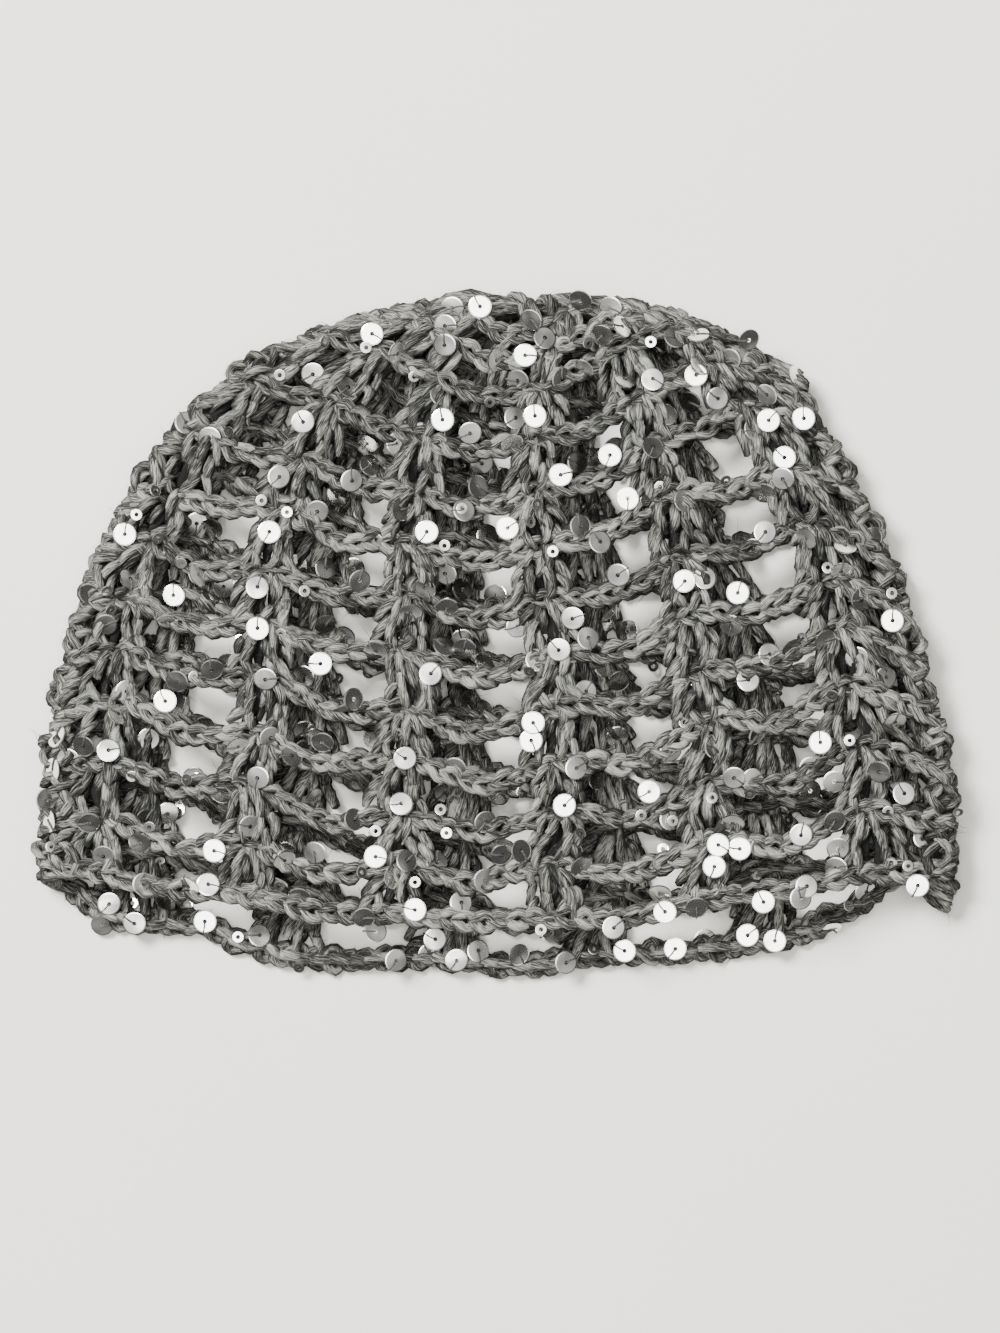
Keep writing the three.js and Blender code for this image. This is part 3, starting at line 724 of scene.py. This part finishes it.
def math_node(tree, operation, a, b):
    node = tree.nodes.new("ShaderNodeMath")
    node.operation = operation
    for socket, value in zip(node.inputs, (a, b)):
        if isinstance(value, (int, float)):
            socket.default_value = value
        else:
            tree.links.new(value, socket)
    return node.outputs["Value"]


def add_relief(tree, shader, height, depth):
    """Relief of a depth in mm, where the height is greater."""
    bump = tree.nodes.new("ShaderNodeBump")
    bump.inputs["Strength"].default_value = 1.0
    bump.inputs["Distance"].default_value = depth * MM
    tree.links.new(height, bump.inputs["Height"])
    tree.links.new(bump.outputs["Normal"], shader.inputs["Normal"])


def yarn_material():
    """Marled grey wool: pale and dark hairs that run along the strands, with painted shade in the hollows and
    on the flanks.
    """
    material, tree, shader = new_material("heather_yarn")
    fibre = attribute(tree, "fibre", "Vector")
    tone_and_shade = attribute(tree, "tone_and_shade", "Fac")
    hairs = noise(tree, stretched(tree, fibre, HAIR_GRAIN), 1.0, 5, 0.68)
    marl = noise(tree, stretched(tree, fibre, MARL_GRAIN), 1.0, 2, 0.5)
    mixed = math_node(tree, "ADD", hairs, math_node(tree, "MULTIPLY", marl, MARL_SHARE))
    # adds each strand's random tone with the painted shade of the hollows and flanks
    mixed = math_node(tree, "ADD", mixed, math_node(tree, "MULTIPLY", tone_and_shade, TONE_AND_SHADE_SHARE))
    colour = ramp(tree, math_node(tree, "SUBTRACT", mixed, YARN_DARKENING), YARN_TONES)
    tree.links.new(colour, shader.inputs["Base Color"])
    shader.inputs["Roughness"].default_value = 0.95
    shader.inputs["Specular IOR Level"].default_value = 0.2
    add_relief(tree, shader, hairs, HAIR_RELIEF)
    return material


def foil_material():
    """Silver foil, very slightly bent."""
    material, tree, shader = new_material("silver_foil")
    place = tree.nodes.new("ShaderNodeTexCoord").outputs["Object"]
    dents = noise(tree, place, FOIL_DENTS, 1)
    tree.links.new(ramp(tree, dents, FOIL_TONES), shader.inputs["Base Color"])
    shader.inputs["Roughness"].default_value = 0.2
    shader.inputs["Metallic"].default_value = 1.0
    add_relief(tree, shader, dents, FOIL_RELIEF)
    return material


def floor_material():
    """Matt off-white paper."""
    material, tree, shader = new_material("pale_paper")
    place = tree.nodes.new("ShaderNodeTexCoord").outputs["Object"]
    colour = ramp(tree, noise(tree, place, PAPER_CLOUDS, 3), PAPER_TONES)
    tree.links.new(colour, shader.inputs["Base Color"])
    shader.inputs["Roughness"].default_value = 0.9
    return material


def thread_material():
    """Dark grey thread."""
    material, tree, shader = new_material("dark_thread")
    fibre = attribute(tree, "fibre", "Vector")
    twist = noise(tree, stretched(tree, fibre, THREAD_GRAIN), 1.0, 2)
    tree.links.new(ramp(tree, twist, THREAD_TONES), shader.inputs["Base Color"])
    shader.inputs["Roughness"].default_value = 0.9
    return material


YARN = yarn_material()
FOIL = foil_material()
THREAD = thread_material()

# The crown's puffs and the knots that fill the folds. The lifts are the least and the most, off the fabric.
CROWN_PUFFS = (
    # begin and end in rounds, puffs
    (0.05, 0.9, 8),
    (0.75, 1.4, 14),
    (1.3, 2.0, 19),
)
PUFF_ROOM = 0.38  # half a puff's width as a share of the room for it
PUFF_SLIP = 0.12  # how far a puff lies off its place at most, as a share of that room
PUFF_LIFTS = (-1.3, 0.9)
FOLD_KNOTS = (-0.12, 0.1)  # along the round from the fold, in columns
KNOT_SLIP = 0.02
KNOT_REACH = 4.2
KNOT_LIFTS = (-0.7, 2.1)
LEFT_FOLD = COLUMNS - FIRST_COLUMN_RUN / COLUMN_PITCH

# Tufts that stick out from the edge, on the flat cap.
TUFTS = (
    # round, from across, from up, to across, to up, height
    (3, 67.0, 66.0, 78.0, 63.0, 9.0),
    (3, 69.0, 69.0, 77.0, 66.0, 8.0),
    (ROUNDS, 103.0, -57.5, 116.5, -65.5, 6.5),
    (ROUNDS, 108.0, -60.0, 115.5, -69.0, 5.0),
)
TUFT_STRANDS = 5
TUFT_PITCH = 1.2  # from strand to strand
TUFT_THICKNESS = 0.85  # as a share of the yarn's radius


def add_tuft(yarn, start, end, height, rng):
    """A few strands side by side that turn back in loops, to the one side and the other, and droop."""
    each = (TUFT_STRANDS, 1, 1)
    t = np.linspace(0, 1, 7)[:, None]
    way = unit(end - start)
    beside = np.array([-way[1], way[0]])
    row = (np.arange(TUFT_STRANDS) - (TUFT_STRANDS - 1) / 2)[:, None, None]
    offset = row * TUFT_PITCH + rng.normal(0, 0.3, each)
    turn = np.where(offset < 0, 1, -1) * rng.uniform(1.5, 3.0, each)
    reach = rng.uniform(0.8, 1.05, each) * np.sin(2.5 * t)
    flat = start + (end - start) * reach + beside * (offset + turn * t**2)
    lift = rng.uniform(0.6, 2.4, each) * np.sin(np.pi * t)
    up = height * (1 - 0.45 * t**2) + lift
    knots = np.concatenate([flat, np.broadcast_to(up, flat[..., :1].shape)], -1)
    yarn.add(curve_through(knots, 2), YARN_RADIUS * TUFT_THICKNESS, 0.0, rng)


# The crown and the rounds.


rounds = {"crown": Yarn()}
crown_rng = np.random.default_rng(101)
for begin, end, puffs in CROWN_PUFFS:
    columns = (np.arange(puffs) + crown_rng.uniform(-PUFF_SLIP, PUFF_SLIP, puffs)) * COLUMNS / puffs
    room = fabric_at(columns, end / ROUNDS)[4] * COLUMNS / puffs
    lifts = crown_rng.uniform(*PUFF_LIFTS, (puffs, 1, 1))
    reach = np.minimum(FAN_REACH, room * PUFF_ROOM)
    add_fans(rounds["crown"], columns, begin, end, reach, crown_rng, PUFF_LEAVES, lifts)
    add_chain(rounds["crown"], end, CHAIN_SAG, 0.0, crown_rng)
for number in range(CROWN_ROUNDS + 1, ROUNDS + 1):
    rng = np.random.default_rng(100 + number)
    yarn = rounds.setdefault(number, Yarn())
    columns = np.arange(COLUMNS)
    room = fabric_at(columns, number / ROUNDS)[4]
    loose = np.where(place_on_round(columns)[1] == BACK, BACK_LOOSENESS, 1)
    reach = np.minimum(FAN_REACH * loose, room * FAN_ROOM)
    add_fans(yarn, columns, number - 1, number, reach, rng)
    sag, dip = (HEM_SAG, HEM_DIP) if number == ROUNDS else (CHAIN_SAG, CHAIN_DIP)
    add_chain(yarn, number, sag, dip, rng)
    folds = LEFT_FOLD + np.add.outer((0, COLUMNS / 2), FOLD_KNOTS).ravel()
    folds = folds + rng.normal(0, KNOT_SLIP, len(folds))
    lifts = rng.uniform(*KNOT_LIFTS, (len(folds), 1, 1))
    reach = np.full(len(folds), KNOT_REACH)
    add_fans(yarn, folds, number - 1, number, reach, rng, KNOT_LEAVES, lifts)
tuft_rng = np.random.default_rng(5)
for number, x0, y0, x1, y1, height in TUFTS:
    add_tuft(rounds[number], np.array([x0, y0]), np.array([x1, y1]), height, tuft_rng)

yarn_pieces = []
for key, yarn in rounds.items():
    node = "crown" if key == "crown" else "hem_round" if key == ROUNDS else f"mesh_round_{key:02d}"
    piece = yarn.mesh("yarn_" + node, YARN)
    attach(piece, "root")
    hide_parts(node)
    yarn_pieces.append(piece)


# The discs.

LARGE_SIDES = 20
SMALL_SIDES = 12
LARGE_HOLE = 0.56
SMALL_HOLE = 0.6
THREAD_RADIUS = 0.21
FACE_DISCS = 105  # scattered, besides the charted ones
INSIDE_DISCS = 110
BACK_DISCS = 130
LARGE_SHARE = 0.6  # of the scattered discs
SCATTER_CLEARANCE = 0.8  # least distance to the next disc, as a share of both radii
OVERLAP = 0.95  # within this share of both radii a disc lies on the next one
STACK_GAP = 0.4  # and this much higher
LEAST_SPOTS = 9  # of the places tried under a disc, on yarn
DISC_CLEARANCE = 0.16  # from the floor
FACE_COLUMNS = (-0.4, 5.4)
BACK_COLUMNS = (5.7, 11.4)

# The levels that the yarn is looked for from.
ABOVE_CAP = 40.0
INSIDE_CAP = 10.0
BELOW_CAP = -2.0


class Discs:
    """Gathers thin discs with a hole, and the threads that hold them."""

    def __init__(self):
        self.points = []
        self.quads = []
        self.threads = []
        self.laid = []
        self.count = 0

    def ring(self, centre, normal, radius, hole, sides, turn):
        """A flat disc with a hole, a rim that falls off a little and a slight bow."""
        side = unit(np.cross(normal, [0.3, 0.9, 0.1]))
        up = np.cross(normal, side)
        angle = turn + np.arange(sides) * 2 * np.pi / sides
        spoke = np.cos(angle)[:, None] * side + np.sin(angle)[:, None] * up
        bow = DISC_BOW * np.cos(angle + 3 * turn)[:, None] ** 2 * normal
        half = DISC_THICKNESS / 2
        flat = RIM_START * radius
        rim = half - RIM_FALL * radius
        above = (hole, half), (flat, half), (radius, rim)
        below = (radius, rim - 2 * half), (flat, -half), (hole, -half)
        rings = above + below
        index = self.count + np.arange(len(rings) * sides).reshape(-1, sides)
        here = np.roll(index, -1, 0)
        corners = [index, here, np.roll(here, -1, 1), np.roll(index, -1, 1)]
        self.quads.append(np.stack(corners, -1).reshape(-1, 4))
        self.points += [centre + spoke * r + normal * h - bow * r * r for r, h in rings]
        self.count += index.size

    def thread(self, centre, normal, radius, turn):
        """A thread that comes up through the hole and goes over the rim."""
        side = unit(np.cross(normal, [0.3, 0.9, 0.1]))
        out = np.cos(turn) * side + np.sin(turn) * np.cross(normal, side)
        across = np.cross(normal, out)
        top = DISC_THICKNESS / 2
        knots = np.array(
            [
                centre - 0.5 * normal,
                centre + (top + 0.12) * normal,
                centre + out * radius * 0.5 + (top + 0.16) * normal + across * 0.12,
                centre + out * radius * 1.02 + (top + 0.05) * normal,
                centre + out * radius * 1.10 - 0.8 * normal,
            ]
        )
        self.threads.append(knots)

    def mesh(self, name):
        quads = np.concatenate(self.quads)
        return mesh_object(name, np.concatenate(self.points), [quads], FOIL, smooth=False)


bpy.context.view_layer.update()
depsgraph = bpy.context.evaluated_depsgraph_get()
yarn_trees = [BVHTree.FromObject(piece, depsgraph) for piece in yarn_pieces]


def surface_from(start, direction):
    """Distance in mm from a place to the nearest yarn in a direction, or infinity."""
    hits = (tree.ray_cast(Vector(start * MM), Vector(direction)) for tree in yarn_trees)
    return min((hit[3] / MM for hit in hits if hit[3] is not None), default=np.inf)


def lay_disc(discs, place, kind, radius, rng, facing=1, level=ABOVE_CAP, lean_to=None):
    """Lays a disc on the yarn below a place, or above it when facing is -1, seen from a level.

    Says whether it found some.
    """
    down = np.array([0, 0, -float(facing)])
    angle = np.arange(12) * np.pi / 6
    around = np.stack([np.cos(angle), np.sin(angle)], -1) * radius
    spots = place + np.concatenate([[[0, 0]], 0.35 * around[::2], 0.65 * around, 0.95 * around])
    reach = np.array([surface_from(np.array([x, y, level]), down) for x, y in spots])
    found = np.isfinite(reach)
    if found.sum() < LEAST_SPOTS:
        return False
    least, most, lift = DISC_SETS[kind]
    tilt = np.radians(rng.uniform(least, most))
    if lean_to is None:
        lean = WINDOW_SIDE + np.pi + rng.uniform(-LEAN_REACH, LEAN_REACH)
    else:
        lean = lean_to + rng.normal(0, 0.5)
    way = np.array([np.cos(lean), np.sin(lean)])
    leaned = reach[found] - (spots[found] - place) @ way * np.tan(tilt)
    on_top = lift > 0
    closest = leaned.min() if on_top else np.quantile(leaned, 0.2)
    height = level - facing * (closest - lift)
    for x, y, z, size in discs.laid:
        if on_top and np.hypot(x - place[0], y - place[1]) < (size + radius) * OVERLAP:
            height = facing * max(facing * height, facing * z + STACK_GAP)
    height = max(height, DISC_CLEARANCE + radius * np.sin(tilt))
    discs.laid.append((*place, height, radius))
    normal = np.array([*(np.sin(tilt) * way), facing * np.cos(tilt)])
    centre = np.array([place[0], place[1], height])
    turn = rng.uniform(0, 2 * np.pi)
    if radius == DISC_RADIUS:
        discs.ring(centre, normal, radius, LARGE_HOLE, LARGE_SIDES, turn)
        discs.thread(centre, normal, radius, turn)
    else:
        discs.ring(centre, normal, radius, SMALL_HOLE, SMALL_SIDES, turn)
    return True


disc_rng = np.random.default_rng(7)
face_discs = Discs()
for kind, places in DISC_CHART.items():
    for place in places:
        radius = RING_RADIUS if kind == "small" else DISC_RADIUS
        lean_to = None
        if kind == "on edge":
            lean_to = np.arctan2(place[1] + 20, place[0])
        lay_disc(face_discs, np.array(place), kind, radius, disc_rng, lean_to=lean_to)


def scatter(discs, count, along, progress, facing, level):
    """Loose discs here and there between two places along a round and two on the way down."""
    laid = 0
    while laid < count:
        place = fabric_at(disc_rng.uniform(*along), disc_rng.uniform(*progress) ** 0.8)[0]
        radius = DISC_RADIUS if disc_rng.uniform() < LARGE_SHARE else RING_RADIUS
        gaps = (np.hypot(x - place[0], y - place[1]) / (size + radius) for x, y, _, size in discs.laid)
        if all(gap > SCATTER_CLEARANCE for gap in gaps):
            laid += lay_disc(discs, place[:2], "loose", radius, disc_rng, facing, level)


inner_discs = Discs()
back_discs = Discs()
scatter(face_discs, FACE_DISCS, FACE_COLUMNS, (0.02, 1.0), 1, ABOVE_CAP)
scatter(inner_discs, INSIDE_DISCS, BACK_COLUMNS, (0.2, 0.98), 1, INSIDE_CAP)
scatter(back_discs, BACK_DISCS, BACK_COLUMNS, (0.02, 1.0), -1, BELOW_CAP)

thread_yarn = Yarn()
thread_paths = np.array(face_discs.threads + inner_discs.threads + back_discs.threads)
thread_yarn.add(curve_through(thread_paths, 1), THREAD_RADIUS, 0.0, disc_rng, 4)
threads = thread_yarn.mesh("disc_threads", THREAD)
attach(threads, "root")

disc_pieces = {"discs_on_face": face_discs, "discs_inside": inner_discs, "discs_on_back": back_discs}
for name, discs in disc_pieces.items():
    piece = discs.mesh(name)
    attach(piece, "root")
    if discs is face_discs:
        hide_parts(*[f"sequin_{i:02d}" for i in range(1, 32)])


# Loose hairs that stand off the yarn.

FUZZ = 11600
FUZZ_LENGTHS = (0.6, 2.8)
FUZZ_RADII = (0.06, 0.05, 0.02)  # from root to tip
fuzz_rng = np.random.default_rng(11)
roots = []
ways = []
for piece in yarn_pieces:
    count = len(piece.data.vertices)
    places = np.empty(count * 3)
    normals = np.empty(count * 3)
    piece.data.vertices.foreach_get("co", places)
    piece.data.vertex_normals.foreach_get("vector", normals)
    chosen = fuzz_rng.integers(0, count, FUZZ // len(yarn_pieces))
    roots.append(places.reshape(-1, 3)[chosen] / MM)
    ways.append(normals.reshape(-1, 3)[chosen])
roots = np.concatenate(roots)
ways = unit(np.concatenate(ways) + fuzz_rng.normal(0, 0.6, (len(roots), 3)))
reach = fuzz_rng.uniform(*FUZZ_LENGTHS, (len(roots), 1, 1))
curl = unit(fuzz_rng.normal(0, 1, (len(roots), 1, 3)))
t = np.linspace(0, 1, len(FUZZ_RADII))[:, None]
hairs = roots[:, None] + (ways[:, None] * t + curl * t * t * 0.8) * reach - 0.1 * ways[:, None]
fuzz_yarn = Yarn()
fuzz_yarn.add(hairs, np.array(FUZZ_RADII)[None], 0.0, fuzz_rng, 3)
fuzz = fuzz_yarn.mesh("yarn_fuzz", YARN)
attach(fuzz, "root")


# The setting.

FLOOR_REACH = 1500.0
floor_corners = FLOOR_REACH * np.array([[-1.0, -1, 0], [1, -1, 0], [1, 1, 0], [-1, 1, 0]])
floor = mesh_object("floor", floor_corners, [np.array([[0, 1, 2, 3]])], floor_material())

# The window, in metres and watts.
WINDOW_PLACE = (-1.0, 0.9, 1.7)
WINDOW_SIZE = 0.7
WINDOW_POWER = 132
light = bpy.data.lights.new("window", "AREA")
light.size = WINDOW_SIZE
light.energy = WINDOW_POWER
window = bpy.data.objects.new("window", light)
window.location = WINDOW_PLACE
window.rotation_euler = (-Vector(WINDOW_PLACE)).to_track_quat("-Z", "Y").to_euler()
bpy.context.scene.collection.objects.link(window)

# The room: bright overhead, and dimmer and dimmer towards the floor.
ROOM_LIGHT = 9.0
ROOM_TINT = (1.0, 0.99, 0.97)
ROOM_TONES = (
    # height of the direction, share of the light
    (0.10, 0.080),
    (0.34, 0.004),
    (0.57, 0.006),
    (0.74, 0.036),
    (0.87, 0.100),
    (0.94, 0.240),
    (0.985, 1.000),
)
world = bpy.data.worlds.new("room")
world.use_nodes = True
room = world.node_tree
direction = room.nodes.new("ShaderNodeTexCoord").outputs["Generated"]
height = room.nodes.new("ShaderNodeSeparateXYZ")
room.links.new(direction, height.inputs["Vector"])
tones = [(z, tuple(share * tint for tint in ROOM_TINT)) for z, share in ROOM_TONES]
walls = ramp(room, height.outputs["Z"], tones)
room.links.new(walls, room.nodes["Background"].inputs["Color"])
room.nodes["Background"].inputs["Strength"].default_value = ROOM_LIGHT
bpy.context.scene.world = world

# The camera, straight above, in metres. The lens and sensor are in mm.
CAMERA_PLACE = (0.0006, -0.0077, 1.5)
FRAME_HEIGHT = 0.340  # the picture's long side, at the height of the front face's middle
FACE_HEIGHT = 0.012
SENSOR = 36
camera = bpy.data.objects.new("camera", bpy.data.cameras.new("camera"))
camera.location = CAMERA_PLACE
camera.data.sensor_fit = "VERTICAL"
camera.data.sensor_height = SENSOR
camera.data.lens = SENSOR * (CAMERA_PLACE[2] - FACE_HEIGHT) / FRAME_HEIGHT
bpy.context.scene.collection.objects.link(camera)
bpy.context.scene.camera = camera
